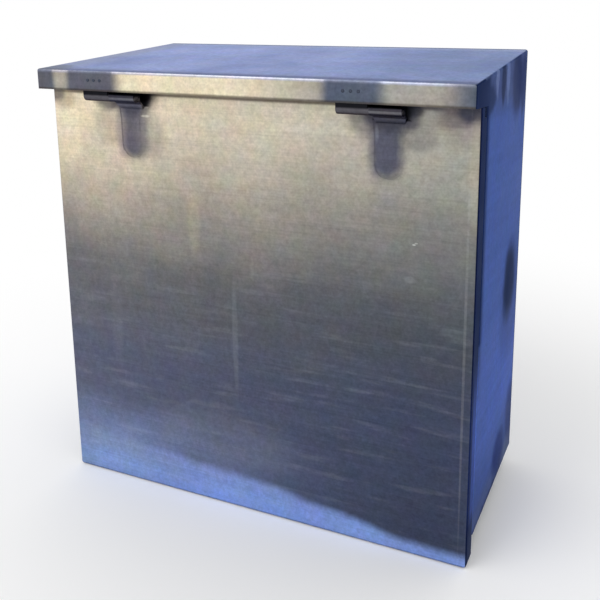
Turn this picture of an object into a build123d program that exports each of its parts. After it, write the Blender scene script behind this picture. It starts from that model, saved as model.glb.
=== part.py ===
from build123d import *
import os
from math import cos, radians, tan

# Wall-mounted meter cabinet in galvanised sheet steel, with a top-hung door.
# Millimetres. X runs to the right, the front faces -Y and +Z is up.
# The origin is the middle of the four wall holes, on the outer face of the back panel.

# Cabinet
cabinet_width = 600.0        # outside of the two side panels
cabinet_depth = 245.0        # wall to the outer face of the shut door
front_height = 560.0         # bottom edge of the side panels to the top of the roof's front edge
roof_pitch = 8.0             # degrees, the roof falls towards the door
roof_overhang = 24.0         # roof's front edge in front of the door
lip_height = 26.0            # the roof's folded front edge
sheet = 1.6                  # galvanised sheet, all folded panels
inner_bend = 1.6             # inside radius of every fold
weld_land = 8.0              # flat of the side panel kept beside its front fold
front_return = 18.0          # side panel's inward fold at the door opening
touch_gap = 0.1              # between a fastener and its hole

# Back panel
back_flange = 20.0
back_relief = 12.0           # corner left open between two flanges
wall_hole_from_side = 40.0
wall_hole_from_end = 50.0    # from the bottom edge, and from the top of the roof's front edge
wall_hole_radius = 4.5

# Floor pan and gland plate
floor_upstand = 20.0
tray_corner_radius = 4.0     # corners of the floor pan and the door
gland_opening_width = 260.0
gland_opening_depth = 80.0
gland_plate_lap = 16.0
gland_plate_sheet = 2.0
grommet_hole_radius = 16.0
grommet_spacing = 120.0
grommet_lip = 4.0
grommet_lip_thickness = 3.0
grommet_wall = 3.0
grommet_edge = 1.0           # bevel round the lips
gland_plate_corner = 4.0

# Header behind the roof's lip
header_drop = 30.0           # below the lip's bottom edge
header_flange = 15.0

# Door
door_depth = 24.0            # folded edge of the door, all round
door_drop = 27.0             # door hangs this much below the body
door_behind_lip = 3.0        # door's top edge above the lip's bottom edge
door_clip_depth = 9.0        # top edge folded less deep, so that it clears the body as the door swings
door_clip_below_pin = 5.0
door_end_gap = 0.5           # around the closed ends of the roof's lip
door_mouth_gap = 2.0         # to the front returns of the body

# Lift-off hinges
hinge_from_side = 119.5      # middle of a hinge to the side of the cabinet
hinge_row_shift = -4.0       # the pair sits a little to the left
hinge_leaf = 2.5
hinge_pin_radius = 3.5
hinge_running_gap = 0.05
hinge_below_lip = 1.0
hinge_half = 39.0            # length of one half of the barrel
hinge_washer = 1.5
lid_leaf_clearance = 6.0     # top of the lid leaf to the top of the lip
rivet_radius = 1.2
rivet_head_radius = 2.0
rivet_head_height = 0.7
rivet_head_bevel = 0.5
rivet_pitch = 9.5
rivet_below_leaf_top = 6.5
strap_root_drop = 9.0        # as wide as the barrel down to here, below the pin
strap_neck_drop = 29.0       # where the taper ends below the pin
strap_finger_width = 27.0
strap_length = 75.0          # end of the strap below the pin
strap_shift = -3.5           # the strap's finger sits left of the barrel's middle
strap_straight = 4.0         # straight part before the offset
strap_bend = 4.0

# Meter board on its spacers
board_from_side = 70.0
board_from_end = 70.0        # from the bottom edge, and from the top of the roof's front edge
board_thickness = 12.0
board_edge_bevel = 1.0
board_hole_inset = 30.0
spacer_radius = 7.0
spacer_length = 25.0
board_stud_radius = 3.0
board_stud_spare = 4.0       # stud end beyond its nut
board_washer_radius = 8.0
washer_thickness = 1.2
board_nut_across_flats = 10.0
board_nut_height = 5.0
stud_end_bevel = 0.7         # on every stud and pin

# Earth stud
earth_stud_radius = 4.0
earth_stud_length = 28.0
earth_stud_x = -200.0
earth_stud_above_floor = 38.0
earth_washer_radius = 8.5
earth_nut_across_flats = 13.0
earth_nut_height = 6.5
earth_nut_gap = 5.0          # room left for the cable lug

# Gland plate screws
plate_screw_radius = 2.5
plate_screw_head_radius = 4.7
plate_screw_head_height = 2.8
plate_screw_head_bevel = 1.0
plate_screw_spare = 1.5
plate_nut_across_flats = 8.0
plate_nut_height = 4.0

# Values worked out from the sizes above
half_width = cabinet_width / 2
inner_half = half_width - sheet
outer_bend = inner_bend + sheet
bottom_z = -front_height / 2
lip_top_z = front_height / 2
lip_bottom_z = lip_top_z - lip_height
door_face_y = -cabinet_depth
door_inside_y = door_face_y + sheet
lip_front_y = door_face_y - roof_overhang
lip_inside_y = lip_front_y + sheet
mouth_y = door_face_y + door_depth + door_mouth_gap
mouth_inside_y = mouth_y + sheet
back_inside_y = -sheet
slope = tan(radians(roof_pitch))
roof_sheet_z = sheet / cos(radians(roof_pitch))
cut_margin = 40.0            # how far cutting shapes run past the sheet they trim

hinge_barrel_radius = hinge_pin_radius + hinge_leaf
hinge_y = lip_inside_y + hinge_barrel_radius
hinge_z = lip_bottom_z - hinge_below_lip - hinge_barrel_radius
hinge_reach = half_width - hinge_from_side
hinge_xs = {"left": hinge_row_shift - hinge_reach, "right": hinge_row_shift + hinge_reach}
wall_hole_spacing_x = cabinet_width - 2 * wall_hole_from_side
wall_hole_spacing_z = front_height - 2 * wall_hole_from_end
board_width = cabinet_width - 2 * board_from_side
board_height = front_height - 2 * board_from_end
half_washer = hinge_washer / 2
floor_top_z = bottom_z + sheet


def roof_z(y):
    """Height of the roof's outer face."""
    return lip_top_z + slope * (y - lip_front_y)


def roof_underside_z(y):
    """Height of the roof's inner face."""
    return roof_z(y) - roof_sheet_z


def facing_front(y, x=0.0, z=0.0):
    """A plane that faces the door, its X to the right and its Y up."""
    return Plane(origin=(x, y, z), x_dir=(1, 0, 0), z_dir=(0, -1, 0))


def fold_outline(points, thickness=sheet, side=Side.LEFT, radius=outer_bend):
    """Closed outline of a folded sheet: the line of its outer face, and the same line one thickness in."""
    with BuildLine() as outline:
        FilletPolyline(*points, radius=radius)
        offset(amount=thickness, side=side)
    return outline.edges()


def save(builder, name):
    """Name a finished piece and write it."""
    builder.part.label = name
    export_step(builder.part, f"parts/{name}.step")


os.makedirs("parts", exist_ok=True)

# Roof and both sides: one sheet folded over the top, its front edge folded down as a lip.
# The corners of the lip are welded and ground round.
with BuildPart() as body_wrap:
    with BuildSketch(Plane.YZ.offset(-half_width)):
        with BuildLine():
            Polyline(
                (0, bottom_z),
                (0, roof_z(0)),
                (lip_front_y, lip_top_z),
                (lip_front_y, lip_bottom_z),
                (mouth_y + weld_land, lip_bottom_z),
                (mouth_y + weld_land, bottom_z),
                close=True,
            )
        make_face()
    extrude(amount=cabinet_width)
    roof_edges = body_wrap.faces().sort_by(Axis.Z)[-1].edges().filter_by(lambda e: e.center().Y < -sheet)
    lip_corners = body_wrap.edges().filter_by(Axis.Z).group_by(Axis.Y)[0]
    fillet(roof_edges + lip_corners, radius=outer_bend)
    with BuildPart(mode=Mode.PRIVATE) as hollow:
        with BuildSketch(Plane.YZ.offset(-inner_half)):
            with BuildLine():
                Polyline(
                    (lip_inside_y, bottom_z - cut_margin),
                    (lip_inside_y, roof_underside_z(lip_inside_y)),
                    (cut_margin, roof_underside_z(cut_margin)),
                    (cut_margin, bottom_z - cut_margin),
                    close=True,
                )
            make_face()
        extrude(amount=2 * inner_half)
        ceiling_edges = hollow.faces().sort_by(Axis.Z)[-1].edges().filter_by(lambda e: e.center().Y < 0)
        hollow_corners = hollow.edges().filter_by(Axis.Z).group_by(Axis.Y)[0]
        fillet(ceiling_edges + hollow_corners, radius=inner_bend)
    add(hollow.part, mode=Mode.SUBTRACT)
    with BuildSketch(Plane.XY.offset(bottom_z)):
        make_face(
            fold_outline(
                [
                    (-half_width, mouth_y + weld_land),
                    (-half_width, mouth_y),
                    (-half_width + front_return, mouth_y),
                ]
            )
        )
        mirror(about=Plane.YZ)
    extrude(amount=lip_bottom_z - bottom_z)
    # Rivet holes through the lip, for the lid halves of the hinges.
    rivet_z = lip_top_z - lid_leaf_clearance - rivet_below_leaf_top
    for hinge_x in hinge_xs.values():
        lid_half_x = hinge_x - half_washer - hinge_half / 2
        with Locations(facing_front(lip_front_y, lid_half_x, rivet_z)):
            with GridLocations(rivet_pitch, rivet_pitch, 3, 1):
                Hole(radius=rivet_radius, depth=sheet)
save(body_wrap, "body_wrap")

# Back panel: a pan welded between the sides, its flanges turned forwards and relieved at the corners.
with BuildPart() as back_panel:
    with BuildSketch(Plane.XY.offset(bottom_z)):
        make_face(
            fold_outline(
                [(-inner_half, -back_flange), (-inner_half, 0), (inner_half, 0), (inner_half, -back_flange)],
                side=Side.RIGHT,
            )
        )
    extrude(amount=roof_z(0) - bottom_z)
    with BuildSketch(Plane.YZ.offset(-inner_half + back_relief)):
        make_face(
            fold_outline(
                [
                    (0, lip_bottom_z),
                    (0, roof_underside_z(0)),
                    (-back_flange, roof_underside_z(-back_flange)),
                ]
            )
        )
    extrude(amount=2 * (inner_half - back_relief))
    # Everything above the underside of the roof is trimmed away.
    with BuildSketch(Plane.YZ.offset(-half_width)):
        with BuildLine():
            Polyline(
                (cut_margin, roof_underside_z(cut_margin)),
                (-cut_margin, roof_underside_z(-cut_margin)),
                (-cut_margin, roof_z(0) + cut_margin),
                (cut_margin, roof_z(0) + cut_margin),
                close=True,
            )
        make_face()
    extrude(amount=cabinet_width, mode=Mode.SUBTRACT)
    # The top fold's round outer corner, over the width of the top flange.
    with BuildSketch(Plane.YZ.offset(-inner_half + back_relief)):
        with BuildLine():
            Polyline(
                (cut_margin, lip_bottom_z),
                (cut_margin, roof_z(0) + cut_margin),
                (-outer_bend, roof_z(0) + cut_margin),
                (-outer_bend, roof_underside_z(-outer_bend)),
                (0, roof_underside_z(0)),
                (0, lip_bottom_z),
                close=True,
            )
        make_face()
    extrude(amount=2 * (inner_half - back_relief), mode=Mode.SUBTRACT)
    # Side flanges stop above the floor's upstand.
    with BuildSketch(Plane.XY.offset(bottom_z)):
        with Locations((0, -sheet - cut_margin / 2)):
            Rectangle(cabinet_width, cut_margin)
    extrude(amount=floor_upstand + sheet, mode=Mode.SUBTRACT)
    # Its upper corners clear the fold between roof and side.
    with BuildSketch(facing_front(cut_margin)):
        with Locations((-inner_half, roof_underside_z(0)), (inner_half, roof_underside_z(0))):
            Rectangle(2 * outer_bend, 2 * (outer_bend + slope * back_flange))
    extrude(amount=2 * cut_margin, mode=Mode.SUBTRACT)
    with Locations(facing_front(back_inside_y)):
        with GridLocations(wall_hole_spacing_x, wall_hole_spacing_z, 2, 2):
            Hole(radius=wall_hole_radius, depth=sheet)
save(back_panel, "back_panel")

# Floor pan: a tray folded upwards, welded between the sides, open in the middle for the gland plate.
floor_depth = back_inside_y - mouth_inside_y
gland_y = (back_inside_y + mouth_inside_y) / 2
with BuildPart() as floor_pan:
    with BuildSketch(Plane.XY.offset(bottom_z)):
        with Locations((0, gland_y)):
            Rectangle(2 * inner_half, floor_depth)
    extrude(amount=floor_upstand)
    fillet(floor_pan.edges().filter_by(Axis.Z), radius=tray_corner_radius)
    fillet(floor_pan.faces().sort_by(Axis.Z)[0].edges(), radius=outer_bend)
    offset(amount=-sheet, openings=floor_pan.faces().sort_by(Axis.Z)[-1])
    with BuildSketch(Plane.XY.offset(bottom_z)):
        with Locations((0, gland_y)):
            RectangleRounded(gland_opening_width, gland_opening_depth, tray_corner_radius)
    extrude(amount=sheet, mode=Mode.SUBTRACT)
    with Locations(Plane(origin=(0, gland_y, floor_top_z))):
        with GridLocations(
            gland_opening_width + gland_plate_lap, gland_opening_depth + gland_plate_lap, 2, 2
        ):
            Hole(radius=plate_screw_radius + touch_gap, depth=sheet)
save(floor_pan, "floor_pan")

# Header: a folded channel behind the lip, from side to side, that closes the top of the door opening.
header_z = lip_bottom_z - header_drop
with BuildPart() as header_rail:
    with BuildSketch(Plane.YZ.offset(-inner_half + outer_bend)):
        make_face(
            fold_outline(
                [
                    (mouth_inside_y + header_flange, header_z),
                    (mouth_inside_y, header_z),
                    (mouth_inside_y, roof_underside_z(mouth_inside_y)),
                    (mouth_inside_y + header_flange, roof_underside_z(mouth_inside_y + header_flange)),
                ],
                side=Side.RIGHT,
            )
        )
    extrude(amount=2 * (inner_half - outer_bend))
save(header_rail, "header_rail")

# Gland plate: lies on the floor over the opening and takes the cable grommets.
plate_top_z = floor_top_z + gland_plate_sheet
with BuildPart() as gland_plate:
    with BuildSketch(Plane.XY.offset(floor_top_z)):
        with Locations((0, gland_y)):
            RectangleRounded(
                gland_opening_width + 2 * gland_plate_lap,
                gland_opening_depth + 2 * gland_plate_lap,
                gland_plate_corner,
            )
    extrude(amount=gland_plate_sheet)
    with Locations(Plane(origin=(0, gland_y, plate_top_z))):
        with GridLocations(
            gland_opening_width + gland_plate_lap, gland_opening_depth + gland_plate_lap, 2, 2
        ):
            Hole(radius=plate_screw_radius + touch_gap, depth=gland_plate_sheet)
        with GridLocations(grommet_spacing, grommet_spacing, 2, 1):
            Hole(radius=grommet_hole_radius, depth=gland_plate_sheet)
save(gland_plate, "gland_plate")

# Cable grommets: grooved rubber rings that grip the edge of the plate's holes.
groove_radius = grommet_hole_radius - touch_gap
grommet_outer = grommet_hole_radius + grommet_lip
grommet_bore = groove_radius - grommet_wall
for side_name, side_sign in (("left", -1), ("right", 1)):
    with BuildPart() as grommet:
        with BuildSketch(facing_front(gland_y, side_sign * grommet_spacing / 2, floor_top_z)):
            with BuildLine():
                Polyline(
                    (grommet_bore, -grommet_lip_thickness),
                    (grommet_outer, -grommet_lip_thickness),
                    (grommet_outer, 0),
                    (groove_radius, 0),
                    (groove_radius, gland_plate_sheet),
                    (grommet_outer, gland_plate_sheet),
                    (grommet_outer, gland_plate_sheet + grommet_lip_thickness),
                    (grommet_bore, gland_plate_sheet + grommet_lip_thickness),
                    close=True,
                )
            face = make_face()
            chamfer(face.vertices().filter_by(lambda v: v.X > grommet_hole_radius), length=grommet_edge)
        revolve(axis=Axis((side_sign * grommet_spacing / 2, gland_y, 0), (0, 0, 1)))
    save(grommet, f"cable_grommet_{side_name}")


def hexagon_nuts(plane, spacing_x, spacing_y, count_x, count_y, across_flats, height, bore_radius):
    """A grid of plain hexagon nuts, standing up from a plane."""
    with BuildPart() as nuts:
        with BuildSketch(plane):
            with GridLocations(spacing_x, spacing_y, count_x, count_y):
                RegularPolygon(across_flats / 2, 6, major_radius=False)
                Circle(bore_radius, mode=Mode.SUBTRACT)
        extrude(amount=height)
    return nuts


def round_washers(plane, spacing_x, spacing_y, count_x, count_y, outer_radius, thickness, bore_radius):
    """A grid of flat washers lying on a plane."""
    with BuildPart() as washers:
        with BuildSketch(plane):
            with GridLocations(spacing_x, spacing_y, count_x, count_y):
                Circle(outer_radius)
                Circle(bore_radius, mode=Mode.SUBTRACT)
        extrude(amount=thickness)
    return washers


# Gland plate screws, heads up, with their nuts under the floor.
plate_screw_x = gland_opening_width + gland_plate_lap
plate_screw_y = gland_opening_depth + gland_plate_lap
screw_grip = gland_plate_sheet + sheet + plate_nut_height + plate_screw_spare
with BuildPart() as plate_screws:
    with BuildSketch(Plane.XY.offset(plate_top_z)):
        with Locations((0, gland_y)):
            with GridLocations(plate_screw_x, plate_screw_y, 2, 2):
                Circle(plate_screw_head_radius)
    extrude(amount=plate_screw_head_height)
    chamfer(plate_screws.edges().group_by(Axis.Z)[-1], length=plate_screw_head_bevel)
    with BuildSketch(Plane.XY.offset(plate_top_z)):
        with Locations((0, gland_y)):
            with GridLocations(plate_screw_x, plate_screw_y, 2, 2):
                Circle(plate_screw_radius)
    extrude(amount=-screw_grip)
save(plate_screws, "gland_plate_screws")

plate_nuts = hexagon_nuts(
    Plane(origin=(0, gland_y, bottom_z - plate_nut_height)),
    plate_screw_x,
    plate_screw_y,
    2,
    2,
    plate_nut_across_flats,
    plate_nut_height,
    plate_screw_radius + touch_gap,
)
save(plate_nuts, "gland_plate_nuts")

# Meter board, carried off the back panel by four studs with tubular spacers.
board_hole_x = board_width - 2 * board_hole_inset
board_hole_z = board_height - 2 * board_hole_inset
board_back_y = back_inside_y - spacer_length
board_front_y = board_back_y - board_thickness
stud_length = spacer_length + board_thickness + washer_thickness + board_nut_height + board_stud_spare
with BuildPart() as meter_board:
    with BuildSketch(facing_front(board_back_y)):
        Rectangle(board_width, board_height)
        with GridLocations(board_hole_x, board_hole_z, 2, 2):
            Circle(board_stud_radius + touch_gap, mode=Mode.SUBTRACT)
    extrude(amount=board_thickness)
    chamfer(meter_board.faces().sort_by(Axis.Y)[0].outer_wire().edges(), length=board_edge_bevel)
save(meter_board, "meter_board")

board_spacers = round_washers(
    facing_front(back_inside_y),
    board_hole_x,
    board_hole_z,
    2,
    2,
    spacer_radius,
    spacer_length,
    board_stud_radius + touch_gap,
)
save(board_spacers, "board_spacers")

with BuildPart() as board_studs:
    with BuildSketch(facing_front(back_inside_y)):
        with GridLocations(board_hole_x, board_hole_z, 2, 2):
            Circle(board_stud_radius)
    extrude(amount=stud_length)
    chamfer(board_studs.edges().group_by(Axis.Y)[0], length=stud_end_bevel)
save(board_studs, "board_studs")

board_washers = round_washers(
    facing_front(board_front_y),
    board_hole_x,
    board_hole_z,
    2,
    2,
    board_washer_radius,
    washer_thickness,
    board_stud_radius + touch_gap,
)
save(board_washers, "board_washers")

board_nuts = hexagon_nuts(
    facing_front(board_front_y - washer_thickness),
    board_hole_x,
    board_hole_z,
    2,
    2,
    board_nut_across_flats,
    board_nut_height,
    board_stud_radius + touch_gap,
)
save(board_nuts, "board_nuts")

# Earth stud, welded to the back panel below the board, with two nuts that clamp a cable lug.
earth_z = floor_top_z + earth_stud_above_floor
first_nut_y = back_inside_y - washer_thickness
second_washer_y = first_nut_y - earth_nut_height - earth_nut_gap
with BuildPart() as earth_stud:
    with BuildSketch(facing_front(back_inside_y, earth_stud_x, earth_z)):
        Circle(earth_stud_radius)
    extrude(amount=earth_stud_length)
    chamfer(earth_stud.edges().group_by(Axis.Y)[0], length=stud_end_bevel)
save(earth_stud, "earth_stud")

with BuildPart() as earth_washers:
    for washer_y in (back_inside_y, second_washer_y):
        with BuildSketch(facing_front(washer_y, earth_stud_x, earth_z)):
            Circle(earth_washer_radius)
            Circle(earth_stud_radius + touch_gap, mode=Mode.SUBTRACT)
        extrude(amount=washer_thickness)
save(earth_washers, "earth_washers")

with BuildPart() as earth_nuts:
    for nut_y in (first_nut_y, second_washer_y - washer_thickness):
        with BuildSketch(facing_front(nut_y, earth_stud_x, earth_z)):
            RegularPolygon(earth_nut_across_flats / 2, 6, major_radius=False)
            Circle(earth_stud_radius + touch_gap, mode=Mode.SUBTRACT)
        extrude(amount=earth_nut_height)
save(earth_nuts, "earth_nuts")

# Door: a tray folded from one sheet, its edge turned back all round.
door_top_z = lip_bottom_z + door_behind_lip
door_bottom_z = bottom_z - door_drop
door_rear_y = door_face_y + door_depth
with BuildPart() as door_tray:
    with BuildSketch(facing_front(door_rear_y, 0, (door_top_z + door_bottom_z) / 2)):
        Rectangle(cabinet_width, door_top_z - door_bottom_z)
    extrude(amount=door_depth)
    fillet(door_tray.edges().filter_by(Axis.Y), radius=tray_corner_radius)
    fillet(door_tray.faces().sort_by(Axis.Y)[0].edges(), radius=outer_bend)
    offset(amount=-sheet, openings=door_tray.faces().sort_by(Axis.Y)[-1])
    # The top edge and the side edges beside it are less deep.
    with BuildSketch(facing_front(door_rear_y, 0, hinge_z - door_clip_below_pin)):
        Rectangle(cabinet_width, cut_margin, align=(Align.CENTER, Align.MIN))
    extrude(amount=door_clip_depth, mode=Mode.SUBTRACT)
    # The upper corners are notched round the closed ends of the lip.
    notch = 2 * (sheet + door_end_gap)
    with BuildSketch(facing_front(door_rear_y)):
        with Locations((-half_width, door_top_z), (half_width, door_top_z)):
            Rectangle(notch, 2 * (door_behind_lip + door_end_gap))
    extrude(amount=door_depth, mode=Mode.SUBTRACT)
save(door_tray, "door_tray")


def along_x(x):
    """The hinge's section plane at x: its X points to the back, its Y up, its middle is the pin."""
    return Plane(origin=(x, hinge_y, hinge_z), x_dir=(0, 1, 0), z_dir=(1, 0, 0))


# Hinges: each is a lid half riveted behind the lip, a door half welded to the door, a pin and a washer.
offset_to_door = door_face_y - hinge_y
for side_name, hinge_x in hinge_xs.items():
    lid_start_x = hinge_x - half_washer - hinge_half
    door_start_x = hinge_x + half_washer
    lid_leaf_top = lip_top_z - lid_leaf_clearance - hinge_z

    with BuildPart() as lid_leaf:
        with BuildSketch(along_x(lid_start_x)):
            Circle(hinge_barrel_radius)
            with Locations((-hinge_barrel_radius, 0)):
                Rectangle(hinge_leaf, lid_leaf_top, align=(Align.MIN, Align.MIN))
            Circle(hinge_pin_radius, mode=Mode.SUBTRACT)
        extrude(amount=hinge_half)
        with Locations(facing_front(lip_inside_y, lid_start_x + hinge_half / 2, rivet_z)):
            with GridLocations(rivet_pitch, rivet_pitch, 3, 1):
                Hole(radius=rivet_radius, depth=hinge_leaf)
    save(lid_leaf, f"{side_name}_hinge_lid_leaf")

    with BuildPart() as lid_rivets:
        with BuildSketch(facing_front(lip_front_y, lid_start_x + hinge_half / 2, rivet_z)):
            with GridLocations(rivet_pitch, rivet_pitch, 3, 1):
                Circle(rivet_head_radius)
        extrude(amount=rivet_head_height)
        chamfer(lid_rivets.edges().group_by(Axis.Y)[0], length=rivet_head_bevel)
        with BuildSketch(facing_front(lip_front_y, lid_start_x + hinge_half / 2, rivet_z)):
            with GridLocations(rivet_pitch, rivet_pitch, 3, 1):
                Circle(rivet_radius)
        extrude(amount=-(sheet + hinge_leaf))
        tail_y = lip_inside_y + hinge_leaf
        with BuildSketch(facing_front(tail_y + rivet_head_height, lid_start_x + hinge_half / 2, rivet_z)):
            with GridLocations(rivet_pitch, rivet_pitch, 3, 1):
                Circle(rivet_head_radius)
        extrude(amount=rivet_head_height)
    save(lid_rivets, f"{side_name}_hinge_rivets")

    with BuildPart() as pin:
        with BuildSketch(along_x(lid_start_x)):
            Circle(hinge_pin_radius)
        extrude(amount=2 * hinge_half + hinge_washer)
        chamfer(pin.edges().filter_by(GeomType.CIRCLE), length=stud_end_bevel)
    save(pin, f"{side_name}_hinge_pin")

    with BuildPart() as washer:
        with BuildSketch(along_x(hinge_x - half_washer + hinge_running_gap)):
            Circle(hinge_barrel_radius)
            Circle(hinge_pin_radius + hinge_running_gap, mode=Mode.SUBTRACT)
        extrude(amount=hinge_washer - 2 * hinge_running_gap)
    save(washer, f"{side_name}_hinge_washer")

    # Door half: rolled round the pin, offset back to the door's face and cut to a tapered strap.
    with BuildPart() as door_leaf:
        with BuildSketch(along_x(door_start_x)):
            make_face(
                fold_outline(
                    [
                        (hinge_barrel_radius, 0),
                        (hinge_barrel_radius, -strap_straight),
                        (offset_to_door, -strap_straight - (offset_to_door - hinge_barrel_radius)),
                        (offset_to_door, -strap_length),
                    ],
                    thickness=hinge_leaf,
                    side=Side.RIGHT,
                    radius=strap_bend,
                )
            )
        extrude(amount=hinge_half)
        finger_right = strap_shift + strap_finger_width / 2
        finger_left = strap_shift - strap_finger_width / 2
        finger_end_z = -strap_length + strap_finger_width / 2
        with BuildSketch(facing_front(door_face_y + cut_margin, door_start_x + hinge_half / 2, hinge_z)):
            with BuildLine():
                Polyline(
                    (finger_left, finger_end_z),
                    (finger_left, -strap_neck_drop),
                    (-hinge_half / 2, -strap_root_drop),
                    (-hinge_half / 2, hinge_barrel_radius),
                    (hinge_half / 2, hinge_barrel_radius),
                    (hinge_half / 2, -strap_root_drop),
                    (finger_right, -strap_neck_drop),
                    (finger_right, finger_end_z),
                )
                ThreePointArc(
                    (finger_right, finger_end_z), (strap_shift, -strap_length), (finger_left, finger_end_z)
                )
            make_face()
        extrude(amount=2 * cut_margin, mode=Mode.INTERSECT)
        with BuildSketch(along_x(door_start_x)):
            Circle(hinge_barrel_radius)
        extrude(amount=hinge_half)
        with BuildSketch(along_x(door_start_x)):
            Circle(hinge_pin_radius + hinge_running_gap)
        extrude(amount=hinge_half, mode=Mode.SUBTRACT)
    save(door_leaf, f"{side_name}_hinge_door_leaf")
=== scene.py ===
import math

import bmesh
import bpy
from mathutils import Matrix, Vector, noise


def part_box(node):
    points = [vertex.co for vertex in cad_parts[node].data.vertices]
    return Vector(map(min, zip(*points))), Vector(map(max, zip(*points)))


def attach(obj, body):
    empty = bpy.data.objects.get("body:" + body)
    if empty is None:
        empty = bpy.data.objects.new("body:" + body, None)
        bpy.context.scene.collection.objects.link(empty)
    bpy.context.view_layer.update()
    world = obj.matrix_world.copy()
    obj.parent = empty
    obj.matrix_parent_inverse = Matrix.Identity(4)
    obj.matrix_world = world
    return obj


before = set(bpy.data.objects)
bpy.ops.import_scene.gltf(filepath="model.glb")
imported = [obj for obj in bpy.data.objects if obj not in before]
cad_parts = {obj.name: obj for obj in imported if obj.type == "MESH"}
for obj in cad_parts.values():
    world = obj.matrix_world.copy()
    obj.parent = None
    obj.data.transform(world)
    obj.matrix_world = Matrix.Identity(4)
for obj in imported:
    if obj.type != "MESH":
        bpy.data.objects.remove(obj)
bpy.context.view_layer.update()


# Door: one sheet of hot-dip galvanised steel, folded back all round and hung from two hinges.
# The zinc is dull and satin. Its colours are painted reflections: warm where it faces the sky under the
# roof's edge, slate lower down and blue along the bottom. It has fine level rolling marks and a few rubbed
# streaks.

def colour(hex_value):
    """An sRGB hex value as the linear colour that a socket takes."""
    parts = [int(hex_value[i:i + 2], 16) / 255 for i in (0, 2, 4)]
    return [c / 12.92 if c <= 0.04045 else ((c + 0.055) / 1.055) ** 2.4 for c in parts] + [1.0]


def add(tree, kind, inputs=None, **settings):
    """Adds a node with its settings, ramp stops and inputs, which are plain values or outputs to link."""
    made = tree.nodes.new(kind)
    for name, value in settings.items():
        if name == "stops":
            ramp = made.color_ramp
            while len(ramp.elements) < len(value):
                ramp.elements.new(0.5)
            for element, (place, shade) in zip(ramp.elements, value):
                element.position = place
                element.color = colour(shade) if isinstance(shade, str) else (shade, shade, shade, 1)
        else:
            setattr(made, name, value)
    for socket, value in (inputs or {}).items():
        if isinstance(value, bpy.types.NodeSocket):
            tree.links.new(value, made.inputs[socket])
        else:
            made.inputs[socket].default_value = value
    return made


def begin(name, metallic, roughness, edge="ffffff"):
    """Starts a material and gives it, its tree, its shader and the point on the piece, in metres.

    The edge is the tint that a metal takes where it is seen at a flat angle.
    """
    material = bpy.data.materials.new(name)
    material.use_nodes = True
    tree = material.node_tree
    tree.nodes.clear()
    output = add(tree, "ShaderNodeOutputMaterial")
    shader = add(tree, "ShaderNodeBsdfPrincipled", {
        "Metallic": metallic, "Roughness": roughness, "Specular Tint": colour(edge)})
    tree.links.new(shader.outputs[0], output.inputs[0])
    point = add(tree, "ShaderNodeTexCoord").outputs["Object"]
    return material, tree, shader, point


def between(tree, value, low, high):
    """The value's place from low, 0, to high, 1, eased at both ends."""
    return add(tree, "ShaderNodeMapRange", {0: value, 1: low, 2: high, 3: 0.0, 4: 1.0},
               interpolation_type="SMOOTHSTEP").outputs[0]


def zinc_over(tree, below, shade, strength):
    """Lays a shade over a colour, as strongly as the mask says."""
    return add(tree, "ShaderNodeMix", {0: strength, 6: below, 7: shade}, data_type="RGBA").outputs[2]


def zinc_thinned(tree, cover, share):
    """How strongly a shade shows where a second mask, or a plain number, lets only a share of it through."""
    return add(tree, "ShaderNodeMath", {0: cover, 1: share}, operation="MULTIPLY").outputs[0]


def zinc_spot(tree, point, centre, reach):
    """How strongly a soft spot round a centre shows: 1 in its core, 0 outside its reach."""
    core = 0.45
    scale = [1 / r for r in reach]
    place = [-c * s for c, s in zip(centre, scale)]
    moved = add(tree, "ShaderNodeMapping", {"Vector": point, "Location": place, "Scale": scale}).outputs[0]
    far = add(tree, "ShaderNodeVectorMath", {0: moved}, operation="LENGTH").outputs["Value"]
    return between(tree, far, 1.0, core)


def zinc_strap(tree, point, x, low, high, inner, outer):
    """How strongly an upright patch of spray shows: 1 within inner of its middle line, 0 past outer.

    The middle line runs from low to high at x.
    """
    place = add(tree, "ShaderNodeSeparateXYZ", {0: point}).outputs
    nearest = add(tree, "ShaderNodeClamp", {0: place["Z"], 1: low, 2: high}).outputs[0]
    line = add(tree, "ShaderNodeCombineXYZ", {0: x, 1: place["Y"], 2: nearest}).outputs[0]
    far = add(tree, "ShaderNodeVectorMath", {0: point, 1: line}, operation="DISTANCE").outputs["Value"]
    return between(tree, far, outer, inner)


def zinc_ragged(tree, point, lumps, shift):
    """The point, moved about by up to half the shift in metres, so that sprayed patches and painted shade get
    ragged edges.
    """
    noisy = add(tree, "ShaderNodeTexNoise", {"Vector": point, "Scale": lumps, "Detail": 2.0}).outputs["Color"]
    centred = add(tree, "ShaderNodeVectorMath", {0: noisy, 1: (-0.5, -0.5, -0.5)}, operation="ADD").outputs[0]
    moved = add(tree, "ShaderNodeVectorMath", {0: centred, "Scale": shift}, operation="SCALE").outputs[0]
    return add(tree, "ShaderNodeVectorMath", {0: point, 1: moved}, operation="ADD").outputs[0]


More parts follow.
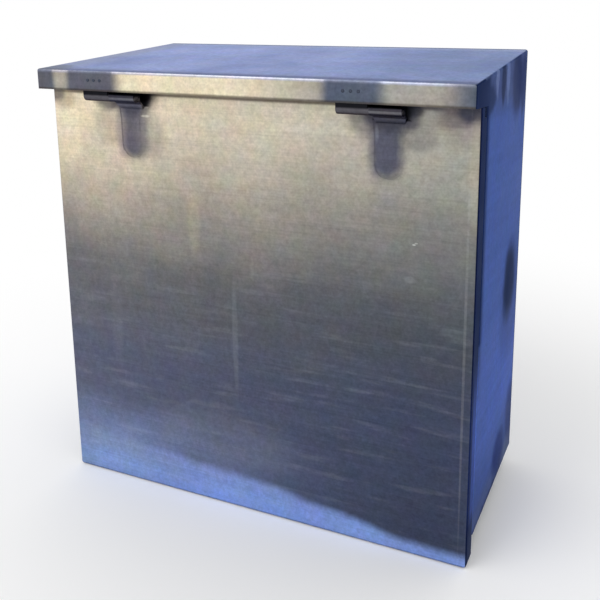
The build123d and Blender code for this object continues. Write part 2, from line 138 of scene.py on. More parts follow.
def zinc_grain(tree, shader, point, base, across):
    """Finishes galvanised sheet: faint spangle, rolling marks along one axis, clouds and waviness.

    Scales count lumps in a metre: spangle 8 mm, clouds 11 cm, mottle 7 mm, speckle 3 mm, patina 26 mm.
    """
    cells = add(tree, "ShaderNodeTexVoronoi", {"Vector": point, "Scale": 120.0}, feature="F1")
    cell = add(tree, "ShaderNodeSeparateColor", {0: cells.outputs["Color"]}).outputs[0]
    stretched = add(tree, "ShaderNodeMapping", {"Vector": point, "Scale": across}).outputs[0]
    lines, smears, clouds, mottle, speckle = (
        add(tree, "ShaderNodeTexNoise", {"Vector": place, "Scale": scale, "Detail": detail}).outputs[0]
        for place, scale, detail in (
            (stretched, 1.0, 3.0), (stretched, 0.13, 2.0), (point, 9.0, 4.0), (point, 150.0, 2.0),
            (point, 330.0, 1.0),
        )
    )
    total = 1.0
    for value, amount in (
        (cell, 0.03), (lines, 0.16), (smears, 0.12), (clouds, 0.17), (mottle, 0.20), (speckle, 0.16),
    ):
        darker, lighter = 1 - amount, 1 + amount
        part = add(tree, "ShaderNodeMapRange", {0: value, 1: 0.0, 2: 1.0, 3: darker, 4: lighter}).outputs[0]
        total = zinc_thinned(tree, part, total)
    patina = add(tree, "ShaderNodeTexNoise", {"Vector": point, "Scale": 38.0, "Detail": 3.0}).outputs["Color"]
    tint_spread, tint_least = (0.24, 0.16, 0.30), (0.88, 0.92, 0.85)
    tint = add(tree, "ShaderNodeVectorMath", {0: patina, 1: tint_spread, 2: tint_least},
               operation="MULTIPLY_ADD").outputs[0]
    shaded = add(tree, "ShaderNodeVectorMath", {0: base, "Scale": total}, operation="SCALE").outputs[0]
    tinted = add(tree, "ShaderNodeVectorMath", {0: shaded, 1: tint}, operation="MULTIPLY").outputs[0]
    tree.links.new(tinted, shader.inputs["Base Color"])
    smoothest, roughest = 0.36, 0.50
    rough = add(tree, "ShaderNodeMapRange", {0: clouds, 1: 0.3, 2: 0.7, 3: smoothest, 4: roughest}).outputs[0]
    tree.links.new(rough, shader.inputs["Roughness"])
    wave = add(tree, "ShaderNodeBump", {"Strength": 0.25, "Distance": 0.004, "Height": clouds}).outputs[0]
    fine = add(tree, "ShaderNodeBump", {
        "Strength": 0.12, "Distance": 0.0004, "Height": lines, "Normal": wave})
    tree.links.new(fine.outputs[0], shader.inputs["Normal"])


def give(material, *nodes):
    """Puts a material on pieces that come with the frame."""
    for name in nodes:
        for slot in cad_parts[name].material_slots:
            slot.material = material


door_low, door_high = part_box("door_tray")
door_face, door_bottom, door_right = door_low[1], door_low[2], door_high[0]
pin_low, pin_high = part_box("left_hinge_pin")
pin_height = (pin_low[2] + pin_high[2]) / 2
door_zinc, tree, shader, point = begin("galvanised_door_sheet", 1.0, 0.4, "b4bcd8")
axes = add(tree, "ShaderNodeSeparateXYZ", {0: point}).outputs
ripple = add(tree, "ShaderNodeTexNoise", {"Vector": point, "Scale": 14.0, "Detail": 5.0}).outputs[0]
shift = add(tree, "ShaderNodeMapRange", {0: ripple, 1: 0.3, 2: 0.7, 3: -0.012, 4: 0.012}).outputs[0]
height = add(tree, "ShaderNodeMath", {0: axes["Z"], 1: shift}, operation="ADD").outputs[0]
# One slate zinc with painted reflections, warm where it faces the sky under the roof's edge and blue low on
# the left, and with painted shade that makes it duller rightwards.
rightwards = add(tree, "ShaderNodeMapRange", {0: axes["X"], 1: -0.28, 2: 0.26}).outputs[0]
slate = zinc_over(tree, colour("606478"), colour("6e6e72"), between(tree, height, -0.14, 0.00))
door_shade = zinc_over(tree, slate, colour("ffeed0"), between(tree, height, -0.025, 0.31))
low_blue_reflection = zinc_thinned(tree, between(tree, height, -0.16, -0.26), between(tree, axes["X"], 0.22, -0.28))
door_shade = zinc_over(tree, door_shade, colour("8090b8"), low_blue_reflection)
painted_shade_rightwards = zinc_over(tree, colour("ffffff"), colour("bcc6d4"), rightwards)
door_shade = add(tree, "ShaderNodeVectorMath", {0: door_shade, 1: painted_shade_rightwards}, operation="MULTIPLY").outputs[0]
# The blue band along the bottom is a painted sky reflection. Its top edge falls to the right: its height,
# place by place.
band_left, band_right, band_low, band_high = -0.29, 0.27, -0.32, -0.22
band_stops = [
    ((x - band_left) / (band_right - band_left), (z - band_low) / (band_high - band_low))
    for x, z in (
        (-0.290, -0.238), (-0.200, -0.246), (-0.117, -0.253), (-0.030, -0.258),
        (0.050, -0.264), (0.115, -0.273), (0.190, -0.286), (0.270, -0.292),
    )
]
along_door = add(tree, "ShaderNodeMapRange", {0: axes["X"], 1: band_left, 2: band_right}).outputs[0]
band_ramp = add(tree, "ShaderNodeValToRGB", {0: along_door}, stops=band_stops).outputs[0]
band_top = add(tree, "ShaderNodeMapRange", {0: band_ramp, 3: band_low, 4: band_high}).outputs[0]
over_band = add(tree, "ShaderNodeMath", {0: axes["Z"], 1: band_top}, operation="SUBTRACT").outputs[0]
over_band = add(tree, "ShaderNodeMath", {0: shift, 1: 0.35, 2: over_band},
                operation="MULTIPLY_ADD").outputs[0]
band = between(tree, over_band, 0.008, -0.008)
band_foot = zinc_over(tree, colour("8ca5d5"), colour("90abe8"), between(tree, axes["X"], -0.22, -0.08))
band_crest = zinc_over(tree, colour("8698be"), colour("90a3dc"), between(tree, axes["X"], -0.20, -0.06))
band_shade = zinc_over(tree, band_crest, band_foot, between(tree, axes["Z"], -0.258, -0.288))
door_shade = zinc_over(tree, door_shade, band_shade, zinc_thinned(tree, band, 0.96))
# Painted shade darkens the bottom fold, and the top is in the painted shadow of the roof's lip.
bottom_fold_shade = between(tree, axes["Z"], door_bottom + 0.0040, door_bottom + 0.0015)
door_shade = zinc_over(tree, door_shade, colour("58628a"), zinc_thinned(tree, bottom_fold_shade, 0.6))
shaded_top = between(tree, axes["Z"], pin_height, pin_height + 0.0035)
door_shade = zinc_over(tree, door_shade, colour("54483f"), zinc_thinned(tree, shaded_top, 0.8))
# The left edge is duller, below the warm zinc.
edge = zinc_thinned(tree, between(tree, axes["X"], -0.268, -0.280), between(tree, axes["Z"], 0.14, 0.06))
door_shade = zinc_over(tree, door_shade, colour("5c6070"), zinc_thinned(tree, edge, 0.15))
roughly = zinc_ragged(tree, point, 55.0, 0.010)
# Zinc spray over the welded hinges, then spots: painted shadow under and beside the barrels, painted shade in
# the top corners under the lip, painted highlights at the top left and on the right strap's edge, rubbed
# places, scratches and, last, the pale line of the fold behind the right-hand edge, a painted highlight:
# middle, reach, shade, strength.
for x, inner, outer, shade in ((-0.1668, 0.0095, 0.0325, "5e5d6a"), (0.1905, 0.0105, 0.0300, "545566")):
    patch = zinc_strap(tree, roughly, x, 0.1870, 0.240, inner, outer)
    door_shade = zinc_over(tree, door_shade, colour(shade), zinc_thinned(tree, patch, 0.96))
for x, z, wide, high, shade, strength in (
    (-0.1390, 0.199, 0.030, 0.042, "8c8884", 0.45),
    (0.1660, 0.237, 0.032, 0.034, "6c6868", 0.66),
    (0.2280, 0.218, 0.030, 0.022, "6c6868", 0.50),
    (-0.1680, 0.246, 0.046, 0.031, "504f5a", 0.95),
    (-0.1465, 0.2480, 0.013, 0.009, "3c2e36", 0.92),
    (0.2245, 0.2465, 0.014, 0.010, "1a1618", 0.90),
    (0.2200, 0.236, 0.015, 0.013, "5c5864", 0.60),
    (0.1740, 0.237, 0.016, 0.012, "5c5864", 0.50),
    (-0.2820, 0.242, 0.030, 0.022, "a09078", 0.50),
    (-0.2050, 0.243, 0.034, 0.020, "5c565a", 0.80),
    (-0.2050, 0.208, 0.034, 0.034, "a49a8c", 0.45),
    (0.1970, 0.246, 0.048, 0.036, "44444f", 0.95),
    (-0.2960, 0.250, 0.022, 0.020, "5c575a", 0.70),
    (0.2780, 0.252, 0.060, 0.012, "54535a", 0.75),
    (0.2850, 0.235, 0.050, 0.034, "88807c", 0.60),
    (0.2720, 0.240, 0.028, 0.016, "6a5e66", 0.60),
    (0.2900, 0.250, 0.026, 0.020, "383c4c", 0.85),
    (0.2420, 0.238, 0.020, 0.014, "88807c", 0.40),
    (-0.1850, 0.205, 0.014, 0.045, "8c8488", 0.40),
    (0.2960, 0.180, 0.012, 0.075, "b8b09c", 0.35),
    (-0.2760, 0.190, 0.030, 0.045, "f6e6c6", 0.40),
    (-0.1000, 0.070, 0.070, 0.060, "a09a90", 0.28),
    (-0.0500, -0.215, 0.150, 0.060, "9a9caa", 0.16),
    (-0.0200, -0.060, 0.0055, 0.100, "b0b4bc", 0.10),
    (0.0085, 0.036, 0.0035, 0.020, "b0b0ac", 0.10),
    (-0.2140, -0.060, 0.013, 0.100, "a0a2aa", 0.06),
    (-0.0780, 0.092, 0.012, 0.060, "c8c0a4", 0.15),
    (-0.0805, 0.062, 0.010, 0.014, "b4b0a8", 0.16),
    (0.2256, 0.0935, 0.0028, 0.0013, "dcdcd8", 0.50),
    (0.2282, 0.0955, 0.0028, 0.0013, "dcdcd8", 0.40),
    (0.2214, 0.051, 0.010, 0.0055, "9a9ea6", 0.22),
    (-0.1455, 0.223, 0.008, 0.0022, "dcd6c8", 0.55),
    (0.1785, 0.219, 0.004, 0.013, "8c9098", 0.28),
    (0.2893, -0.020, 0.0022, 0.330, "b4b4b8", 0.13),
):
    spot = zinc_spot(tree, roughly if wide > 0.02 else point, (x, door_face, z), (wide, 0.03, high))
    door_shade = zinc_over(tree, door_shade, colour(shade), zinc_thinned(tree, spot, strength))
# Faint level smears, each up to a hand long.
stretched = add(tree, "ShaderNodeMapping", {"Vector": point, "Scale": (13.0, 13.0, 95.0)}).outputs[0]
smeared = add(tree, "ShaderNodeTexNoise", {"Vector": stretched, "Scale": 1.0, "Detail": 2.0}).outputs[0]
smears = zinc_thinned(tree, between(tree, smeared, 0.54, 0.74), between(tree, axes["Z"], 0.10, 0.00))
door_shade = zinc_over(tree, door_shade, colour("b4b8c0"), zinc_thinned(tree, smears, 0.080))
# The folded right-hand edge is painted with its own shade, darkest at the front and the foot, with a painted
# blue reflection lower down, and the inside of the tray is plain zinc.
flank = between(tree, axes["X"], door_right - 0.0016, door_right - 0.0008)
flank_reflection = zinc_thinned(tree, between(tree, axes["Z"], -0.03, -0.14), between(tree, axes["Z"], -0.27, -0.23))
flank_shades = zinc_over(tree, colour("121a34"), colour("465aa0"), flank_reflection)
flank_shades = zinc_over(tree, flank_shades, colour("2c324a"), between(tree, axes["Z"], -0.235, -0.280))
flank_front_shade = between(tree, axes["Y"], door_face + 0.0125, door_face + 0.0075)
flank_shades = zinc_over(tree, flank_shades, colour("0e1636"), zinc_thinned(tree, flank_front_shade, 0.85))
door_shade = zinc_over(tree, door_shade, flank_shades, flank)
inside = between(tree, axes["Y"], door_face + 0.0011, door_face + 0.0015)
inside = zinc_thinned(tree, inside, between(tree, axes["X"], door_right - 0.0012, door_right - 0.0020))
door_shade = zinc_over(tree, door_shade, colour("9298a8"), inside)
# The hinges' door halves are sprayed with the door. Their barrels carry painted shade, darkest on top under
# the lip, with a painted highlight along them, and the crank below each barrel is painted lighter to offset
# its shade.
barrel_highlight = between(tree, axes["Z"], pin_height - 0.0040, pin_height - 0.0022)
barrel_highlight = zinc_thinned(tree, barrel_highlight, between(tree, axes["Z"], pin_height + 0.0006, pin_height - 0.0011))
barrel_top_shadow = between(tree, axes["Z"], pin_height + 0.0008, pin_height + 0.0035)
barrel_shades = zinc_over(tree, colour("3c3a42"), colour("6a6a70"), barrel_highlight)
barrel_shades = zinc_over(tree, barrel_shades, colour("101014"), barrel_top_shadow)
crank_lightening = between(tree, axes["Y"], door_face - 0.0028, door_face - 0.0080)
door_shade = zinc_over(tree, door_shade, colour("7c7c88"), zinc_thinned(tree, crank_lightening, 0.8))
barrel = between(tree, axes["Y"], door_face - 0.0085, door_face - 0.0100)
door_shade = zinc_over(tree, door_shade, barrel_shades, barrel)
zinc_grain(tree, shader, point, door_shade, (4.0, 4.0, 420.0))
give(door_zinc, "door_tray", "left_hinge_door_leaf", "right_hinge_door_leaf")

# Roof and sides: one galvanised sheet, coloured with painted sky reflections. The roof looks up at the sky
# and is pale blue, its folded front edge is warm with grey zinc spray at the corners and rivets, the sides
# are deep blue.
body_zinc, tree, shader, point = begin("galvanised_body_sheet", 1.0, 0.4, "b4bcd8")
axes = add(tree, "ShaderNodeSeparateXYZ", {0: point}).outputs
beside = add(tree, "ShaderNodeMath", {0: axes["X"]}, operation="ABSOLUTE").outputs[0]
rightwards = add(tree, "ShaderNodeMapRange", {0: axes["X"], 1: -0.3, 2: 0.3}).outputs[0]
body_low, body_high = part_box("body_wrap")
body_right, roof_front = body_high[0], body_low[1]
front_height, lip_height = 0.560, 0.026
lip_top = body_low[2] + front_height
lip_bottom = lip_top - lip_height
roof_rise = add(tree, "ShaderNodeMapRange", {
    0: axes["Y"], 1: roof_front, 2: body_high[1], 3: lip_top, 4: body_high[2]}).outputs[0]
above_roof = add(tree, "ShaderNodeMath", {0: axes["Z"], 1: roof_rise}, operation="SUBTRACT").outputs[0]
# Painted shade on the front return, seen in the gap beside the door.
reveal_shade = zinc_thinned(tree, between(tree, beside, 0.284, 0.292), between(tree, axes["Y"], -0.2140, -0.2180))
body_shade = zinc_over(tree, colour("8c93a6"), colour("1e263c"), reveal_shade)
# Sides, by height: their deep blue is a painted sky reflection, lit lighter in the middle, with painted shade
# under the roof's edge, a greyer foot, and pale and dark runs under the roof's edge.
lit_panel = between(tree, axes["Z"], -0.01, -0.09)
lit_panel = zinc_thinned(tree, lit_panel, between(tree, axes["Z"], -0.225, -0.165))
side_shades = zinc_over(tree, colour("4e65a4"), colour("5a74c4"), lit_panel)
side_shades = zinc_over(tree, side_shades, colour("48557e"), between(tree, axes["Z"], 0.230, 0.270))
side_shades = zinc_over(tree, side_shades, colour("606a86"), between(tree, axes["Z"], -0.235, -0.266))
roughly = zinc_ragged(tree, point, 40.0, 0.014)
# Painted shade beside the door, and the brushed panel lower down. Then zinc spray over the welds at the back,
# and pale and dark runs under the roof's edge, partly painted shade: middle, reach, shade, strength.
shade_beside_door = between(tree, axes["Y"], -0.200, -0.219)
shade_beside_door = zinc_thinned(tree, shade_beside_door, between(tree, axes["Z"], -0.13, -0.04))
side_shades = zinc_over(tree, side_shades, colour("121c3c"), zinc_thinned(tree, shade_beside_door, 0.90))
panel = zinc_thinned(tree, between(tree, axes["Z"], -0.026, -0.034), between(tree, axes["Y"], -0.078, -0.086))
side_shades = zinc_over(tree, side_shades, colour("566caa"), zinc_thinned(tree, panel, 0.45))
for y, z, deep, high, shade, strength in (
    (-0.045, -0.025, 0.080, 0.120, "38487c", 0.55),
    (-0.059, 0.000, 0.048, 0.072, "06122e", 0.96),
    (-0.085, -0.245, 0.050, 0.045, "1c2a64", 0.80),
    (-0.012, -0.215, 0.040, 0.065, "222858", 0.70),
    (-0.150, -0.283, 0.160, 0.012, "1e2a58", 0.80),
    (-0.240, 0.268, 0.034, 0.040, "141c38", 0.92),
    (-0.205, 0.262, 0.030, 0.022, "1e2846", 0.85),
    (-0.142, 0.281, 0.017, 0.038, "0e1632", 0.95),
    (-0.060, 0.276, 0.044, 0.060, "121a42", 0.92),
    (-0.018, 0.272, 0.024, 0.060, "1e2652", 0.82),
    (-0.174, 0.282, 0.009, 0.030, "7886ac", 0.75),
    (-0.118, 0.285, 0.010, 0.045, "7484b0", 0.75),
    (-0.228, 0.296, 0.036, 0.013, "8e9aba", 0.75),
):
    spot = zinc_spot(tree, roughly, (body_right, y, z), (0.1, deep, high))
    side_shades = zinc_over(tree, side_shades, colour(shade), zinc_thinned(tree, spot, strength))
# The rear edge is cut sheet, and dark. The left side is plainer.
rear_cut = between(tree, axes["Y"], -0.005, -0.002)
side_shades = zinc_over(tree, side_shades, colour("1c2444"), zinc_thinned(tree, rear_cut, 0.8))
plain_side = between(tree, axes["X"], 0.05, -0.05)
side_shades = zinc_over(tree, side_shades, colour("6e7890"), zinc_thinned(tree, plain_side, 0.45))
side_face = between(tree, beside, body_right - 0.0018, body_right - 0.0010)
body_shade = zinc_over(tree, body_shade, side_shades, side_face)
# Folded front edge: a painted warm reflection, duller rightwards, with four patches of zinc spray, a painted
# highlight along the crest and a painted shadow along the hem.
lip_shades = zinc_over(tree, colour("ecdfc2"), colour("a6a299"), between(tree, axes["X"], -0.01, 0.13))
lip_shades = zinc_over(tree, lip_shades, colour("b2aca0"), between(tree, axes["X"], -0.20, -0.24))
for sprayed_from, full_from, full_to, sprayed_to, shade in (
    (-0.400, -0.390, -0.276, -0.266, "666772"),
    (-0.255, -0.243, -0.180, -0.154, "666772"),
    (0.112, 0.130, 0.182, 0.208, "575e70"),
    (0.250, 0.304, 0.390, 0.400, "575e70"),
):
    sprayed = zinc_thinned(tree, between(tree, axes["X"], sprayed_from, full_from),
                         between(tree, axes["X"], sprayed_to, full_to))
    lip_shades = zinc_over(tree, lip_shades, colour(shade), sprayed)
crest_line = between(tree, axes["Z"], lip_top - 0.0048, lip_top - 0.0022)
pale = add(tree, "ShaderNodeSeparateColor", {0: lip_shades}).outputs[0]
crest_highlight = zinc_thinned(tree, crest_line, between(tree, pale, 0.145, 0.25))
lip_shades = zinc_over(tree, lip_shades, colour("9ca2bc"), zinc_thinned(tree, crest_line, 0.30))
crest_highlight_colour = zinc_over(tree, colour("bab8c3"), colour("b4b8cc"), rightwards)
crest_highlight = zinc_thinned(tree, crest_highlight, between(tree, axes["X"], 0.282, 0.262))
lip_shades = zinc_over(tree, lip_shades, crest_highlight_colour, zinc_thinned(tree, crest_highlight, 0.85))
hem_shadow = between(tree, axes["Z"], lip_bottom + 0.0038, lip_bottom + 0.0008)
lip_shades = zinc_over(tree, lip_shades, colour("453d36"), zinc_thinned(tree, hem_shadow, 0.75))
lip_face = between(tree, axes["Y"], roof_front + 0.0014, roof_front + 0.0006)
body_shade = zinc_over(tree, body_shade, lip_shades, lip_face)
# Roof, from left to right: its pale blue is a painted sky reflection, duller along its front and paler along
# its back edge.
roof_shades = zinc_over(tree, colour("a7b2d6"), colour("93a0c0"), between(tree, axes["X"], 0.04, 0.22))
roof_shades = zinc_over(tree, roof_shades, colour("b0b5c8"), between(tree, axes["X"], -0.23, -0.29))
smudged = add(tree, "ShaderNodeMapping", {"Vector": point, "Scale": (15.0, 10.0, 10.0)}).outputs[0]
smudges = add(tree, "ShaderNodeTexNoise", {"Vector": smudged, "Scale": 1.0, "Detail": 3.0}).outputs[0]
pale_smudges = zinc_thinned(tree, between(tree, smudges, 0.52, 0.68), 0.26)
roof_shades = zinc_over(tree, roof_shades, colour("b4bade"), pale_smudges)
blue_smudges = zinc_thinned(tree, between(tree, smudges, 0.48, 0.34), 0.22)
roof_shades = zinc_over(tree, roof_shades, colour("7886be"), blue_smudges)
front_strip = between(tree, axes["Y"], roof_front + 0.023, roof_front + 0.007)
strip_shade = zinc_over(tree, colour("a4a9bc"), colour("8c91a6"), rightwards)
roof_shades = zinc_over(tree, roof_shades, strip_shade, zinc_thinned(tree, front_strip, 0.7))
fold_line = between(tree, axes["Y"], roof_front + 0.0130, roof_front + 0.0060)
roof_shades = zinc_over(tree, roof_shades, colour("4c5278"), zinc_thinned(tree, fold_line, 0.45))
back_strip = between(tree, axes["Y"], -0.030, -0.014)
roof_shades = zinc_over(tree, roof_shades, colour("b8c1d3"), zinc_thinned(tree, back_strip, 0.5))
roof_face = between(tree, above_roof, -0.0012, -0.0002)
rear_edge = between(tree, axes["Y"], -0.0100, -0.0040)
roof_shades = zinc_over(tree, roof_shades, colour("4c566c"), zinc_thinned(tree, rear_edge, 0.7))
front_corner = zinc_spot(tree, roughly, (-0.29, -0.258, 0.281), (0.05, 0.03, 0.05))
roof_shades = zinc_over(tree, roof_shades, colour("84847e"), zinc_thinned(tree, front_corner, 0.7))
body_shade = zinc_over(tree, body_shade, roof_shades, roof_face)
zinc_grain(tree, shader, point, body_shade, (6.0, 5.0, 120.0))
give(body_zinc, "body_wrap")

# Inner panels: back panel, floor pan and header rail, folded from the same galvanised sheet, and the flat
# gland plate, screwed to the floor. Out of the weather the zinc keeps its plain grey.
panel_zinc, tree, shader, point = begin("galvanised_inner_sheet", 1.0, 0.42, "b4bcd8")
zinc_grain(tree, shader, point, colour("8c93a6")[:3], (5.0, 60.0, 200.0))
give(panel_zinc, "back_panel", "floor_pan", "header_rail", "gland_plate")

# Hinges: rolled from 2.5 mm steel strip, welded to the door and riveted to the lip, then sprayed with zinc.
# The lid halves, washers, pins and rivets carry painted shade from the lip, darkest above the pin, with a
# painted highlight just below the pin and plainer grey up on the rivets.
hinge_spray, tree, shader, point = begin("zinc_sprayed_hinge_steel", 0.8, 0.5, "8c90a4")
axes = add(tree, "ShaderNodeSeparateXYZ", {0: point}).outputs
hinge_shades = colour("4a4246")
for shade, from_pin, full_from_pin in (
    ("5a585e", -0.0055, -0.0025), ("1a1a1e", 0.0000, 0.0030), ("464c5a", 0.0105, 0.0145),
):
    rising = between(tree, axes["Z"], pin_height + from_pin, pin_height + full_from_pin)
    hinge_shades = zinc_over(tree, hinge_shades, colour(shade), rising)
mottle = add(tree, "ShaderNodeTexNoise", {"Vector": point, "Scale": 160.0, "Detail": 4.0}).outputs[0]
level = add(tree, "ShaderNodeMapRange", {0: mottle, 1: 0.3, 2: 0.7, 3: 0.88, 4: 1.12}).outputs[0]
shade = add(tree, "ShaderNodeVectorMath", {0: hinge_shades, "Scale": level}, operation="SCALE").outputs[0]
tree.links.new(shade, shader.inputs["Base Color"])
pitted = add(tree, "ShaderNodeBump", {"Strength": 0.3, "Distance": 0.0003, "Height": mottle})
tree.links.new(pitted.outputs[0], shader.inputs["Normal"])
for side in ("left", "right"):
    give(hinge_spray, *(f"{side}_hinge_{piece}" for piece in ("lid_leaf", "washer", "rivets", "pin")))

# Welds: a flat bead of steel runs down one side of each strap, round its end and up the other side.
# It is laid by hand, so its surface wavers a little, and it is sprayed over with zinc like the door.
bead_wide, bead_proud, bead_buried = 0.0055, 0.0024, 0.0006
strap_half, strap_end_z, strap_neck_z, strap_root_z = 0.0135, 0.1855, 0.2180, 0.2360
strap_taper_left, strap_taper_right = 0.0022, 0.0086
barrel_end_to_strap = 0.0160
bead_sides, bead_steps, bead_turns = 16, 10, 16
bead_ripple, ripples_per_metre = 0.0003, 420


def grow(shape, loop, shift):
    """Extrudes an edge loop along a shift in steps and returns the last loop."""
    for _ in range(bead_steps):
        grown = bmesh.ops.extrude_edge_only(shape, edges=loop)["geom"]
        ring = [part for part in grown if isinstance(part, bmesh.types.BMVert)]
        edges = [part for part in grown if isinstance(part, bmesh.types.BMEdge)]
        loop = [edge for edge in edges if set(edge.verts) <= set(ring)]
        bmesh.ops.translate(shape, verts=ring, vec=Vector(shift) / bead_steps)
    return loop


for side in ("left", "right"):
    strap_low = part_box(f"{side}_hinge_door_leaf")[0]
    middle = strap_low[0] + barrel_end_to_strap
    bead = bmesh.new()
    ring = bmesh.ops.create_circle(bead, segments=bead_sides, radius=1.0)["verts"]
    for vert in ring:
        proud = -bead_proud * (1 + math.cos(math.pi * vert.co.x)) / 2
        vert.co = (bead_wide * vert.co.x, proud if vert.co.y < 0 else bead_buried, 0)
    start = (middle + strap_half + strap_taper_right, door_face, strap_root_z)
    bmesh.ops.translate(bead, verts=ring, vec=start)
    loop = grow(bead, list(bead.edges), (-strap_taper_right, 0, strap_neck_z - strap_root_z))
    loop = grow(bead, loop, (0, 0, strap_end_z - strap_neck_z))
    strap_end = (middle, door_face, strap_end_z)
    turn = bmesh.ops.spin(bead, geom=loop, cent=strap_end, axis=(0, 1, 0), angle=math.pi, steps=bead_turns)
    loop = [part for part in turn["geom_last"] if isinstance(part, bmesh.types.BMEdge)]
    loop = grow(bead, loop, (0, 0, strap_neck_z - strap_end_z))
    grow(bead, loop, (-strap_taper_left, 0, strap_root_z - strap_neck_z))
    bmesh.ops.remove_doubles(bead, verts=bead.verts, dist=1e-6)
    bmesh.ops.holes_fill(bead, edges=[edge for edge in bead.edges if edge.is_boundary])
    bmesh.ops.recalc_face_normals(bead, faces=bead.faces)
    for vert in bead.verts:
        vert.co += vert.normal * bead_ripple * noise.noise(vert.co * ripples_per_metre)
        vert.co.y = min(vert.co.y, door_face + bead_buried)
    mesh = bpy.data.meshes.new(f"{side}_hinge_weld_bead")
    bead.to_mesh(mesh)
    bead.free()
    mesh.shade_smooth()
    mesh.materials.append(door_zinc)
    bead_object = bpy.data.objects.new(f"{side}_hinge_weld_bead", mesh)
    bpy.context.scene.collection.objects.link(bead_object)
    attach(bead_object, "door")

# Fasteners: screws, studs, nuts, washers and spacers, turned and rolled from steel.
# Their zinc plating is bright, with a faint yellow and blue sheen.
plated, tree, shader, point = begin("bright_zinc_plated_steel", 1.0, 0.32)
tint = add(tree, "ShaderNodeTexNoise", {"Vector": point, "Scale": 60.0, "Detail": 2.0}).outputs[0]
shade = add(tree, "ShaderNodeValToRGB", {0: tint}, stops=[(0.35, "a4a8b4"), (0.65, "c0bdb0")]).outputs[0]
tree.links.new(shade, shader.inputs["Base Color"])
give(plated, "gland_plate_screws", "gland_plate_nuts", "board_spacers", "board_studs", "board_washers",
     "board_nuts", "earth_stud", "earth_washers")

# Earth nuts: two nuts turned from brass bar, on the earth stud.
# The brass is a little tarnished, so it turns from gold to brown in soft clouds.
brass, tree, shader, point = begin("turned_brass", 1.0, 0.35)
tarnish = add(tree, "ShaderNodeTexNoise", {"Vector": point, "Scale": 90.0, "Detail": 3.0}).outputs[0]
shade = add(tree, "ShaderNodeValToRGB", {0: tarnish}, stops=[(0.35, "8f7436"), (0.65, "c8a850")]).outputs[0]
tree.links.new(shade, shader.inputs["Base Color"])
give(brass, "earth_nuts")

# Cable grommets: two rings of moulded black rubber, pushed into the holes of the gland plate.
# A dusty bloom greys the rubber in places.
rubber, tree, shader, point = begin("moulded_black_rubber", 0.0, 0.7)
bloom = add(tree, "ShaderNodeTexNoise", {"Vector": point, "Scale": 120.0, "Detail": 3.0}).outputs[0]
shade = add(tree, "ShaderNodeValToRGB", {0: bloom}, stops=[(0.4, "1c1c1e"), (0.7, "34343a")]).outputs[0]
tree.links.new(shade, shader.inputs["Base Color"])
give(rubber, "cable_grommet_left", "cable_grommet_right")

# Meter board: varnished birch plywood, sawn to size and held on four studs.
# Its face grain is upright, and its plies show on the sawn edge.
plywood, tree, shader, point = begin("varnished_birch_plywood", 0.0, 0.45)
grain_place = add(tree, "ShaderNodeMapping", {"Vector": point, "Scale": (90.0, 30.0, 5.0)}).outputs[0]
grain = add(tree, "ShaderNodeTexNoise", {
    "Vector": grain_place, "Scale": 1.0, "Detail": 6.0, "Distortion": 0.6}).outputs[0]
face = add(tree, "ShaderNodeValToRGB", {0: grain},
           stops=[(0.3, "8e6a3e"), (0.5, "ab8450"), (0.7, "c49e68")]).outputs[0]
plies = add(tree, "ShaderNodeTexWave", {"Vector": point, "Scale": 60.0, "Distortion": 0.3},
            bands_direction="Y").outputs[1]
edge_grain = add(tree, "ShaderNodeValToRGB", {0: plies}, stops=[(0.3, "6c4b2a"), (0.6, "b48f5c")]).outputs[0]
axes = add(tree, "ShaderNodeSeparateXYZ", {0: point}).outputs
board_low, board_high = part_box("meter_board")
board_front, board_back = board_low[1], board_high[1]
within = zinc_thinned(tree, between(tree, axes["Y"], board_front + 0.0002, board_front + 0.0004),
                    between(tree, axes["Y"], board_back - 0.0002, board_back - 0.0004))
tree.links.new(zinc_over(tree, face, edge_grain, within), shader.inputs["Base Color"])
grained = add(tree, "ShaderNodeBump", {"Strength": 0.15, "Distance": 0.0003, "Height": grain})
tree.links.new(grained.outputs[0], shader.inputs["Normal"])
give(plywood, "meter_board")

# Floor and light: a plain pale floor under the door's bottom edge, an even white sky and one soft lamp.
# The floor fades into the sky's white away from the cabinet.

def seen_plainly(tree):
    """1 for what the camera or a shiny surface sees, 0 for what only lights the cabinet."""
    rays = add(tree, "ShaderNodeLightPath").outputs
    return add(tree, "ShaderNodeMath", {0: rays["Is Camera Ray"], 1: rays["Is Glossy Ray"]},
               operation="MAXIMUM").outputs[0]


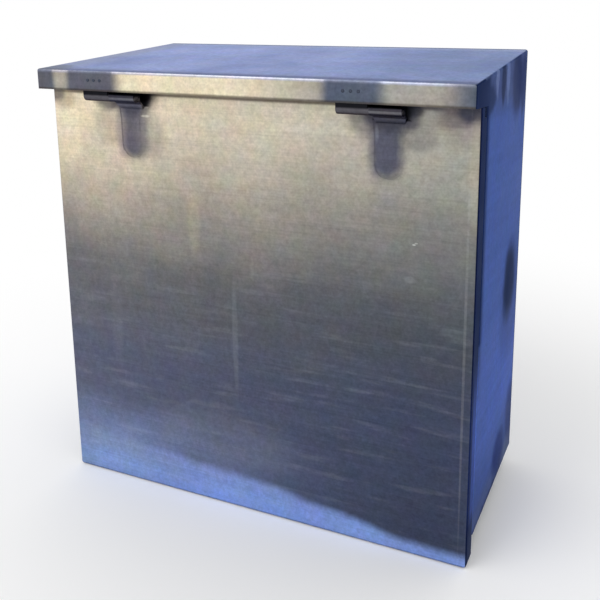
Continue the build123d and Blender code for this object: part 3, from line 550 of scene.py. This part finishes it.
floor_gap = 0.0005
bpy.ops.mesh.primitive_plane_add(size=14, location=(0, 0, 0))
floor = bpy.context.object
floor.location.z = door_bottom - floor_gap
floor.name = "floor"
floor_paint, tree, shader, point = begin("pale_floor", 0.0, 0.9)
shader.inputs["Base Color"].default_value = colour("f8f8f8")
far = add(tree, "ShaderNodeVectorMath", {0: point}, operation="LENGTH").outputs["Value"]
white = add(tree, "ShaderNodeEmission", {"Strength": 1.0})
faded = zinc_thinned(tree, seen_plainly(tree), between(tree, far, 0.3, 1.2))
blend = add(tree, "ShaderNodeMixShader", {0: faded, 1: shader.outputs[0], 2: white.outputs[0]})
tree.links.new(blend.outputs[0], tree.nodes["Material Output"].inputs[0])
floor.data.materials.append(floor_paint)

world = bpy.data.worlds.new("white_sky")
world.use_nodes = True
sky = world.node_tree.nodes["Background"].inputs
sky["Color"].default_value = (1, 1, 1, 1)
brightness = add(world.node_tree, "ShaderNodeMapRange", {
    0: seen_plainly(world.node_tree), 1: 0.0, 2: 1.0, 3: 0.9, 4: 1.0}).outputs[0]
world.node_tree.links.new(brightness, sky["Strength"])
bpy.context.scene.world = world

lamp = bpy.data.lights.new("soft_lamp", "AREA")
lamp.size = 1.6
lamp.energy = 14
lamp_object = bpy.data.objects.new("soft_lamp", lamp)
lamp_object.location = (-0.9, -1.5, 1.7)
lamp_object.rotation_mode = "QUATERNION"
lamp_object.rotation_quaternion = (-lamp_object.location).to_track_quat("-Z", "Y")
bpy.context.scene.collection.objects.link(lamp_object)

# Camera: stands to the right of the cabinet and looks slightly down at it. Its place, turn and lens were
# worked out from the straight edges of the cabinet.
camera = bpy.data.cameras.new("camera")
camera.sensor_width = 36
camera.lens = 40.6859
camera.shift_x = -0.19741
camera.shift_y = -0.20766
camera.clip_start = 0.05
camera.clip_end = 50
camera_place = (0.47898, -0.95186, 0.3113)
yaw, pitch, roll = -0.3396, -0.1799, -0.0198
ahead = Vector((math.sin(yaw) * math.cos(pitch), math.cos(yaw) * math.cos(pitch), math.sin(pitch)))
level = Vector((math.cos(yaw), -math.sin(yaw), 0))
down = ahead.cross(level)
right = level * math.cos(roll) + down * math.sin(roll)
below = down * math.cos(roll) - level * math.sin(roll)
camera_object = bpy.data.objects.new("camera", camera)
turned = Matrix((right, -below, -ahead)).transposed().to_4x4()
camera_object.matrix_world = Matrix.Translation(camera_place) @ turned
bpy.context.scene.collection.objects.link(camera_object)
bpy.context.scene.camera = camera_object
bpy.context.scene.view_settings.view_transform = "Standard"
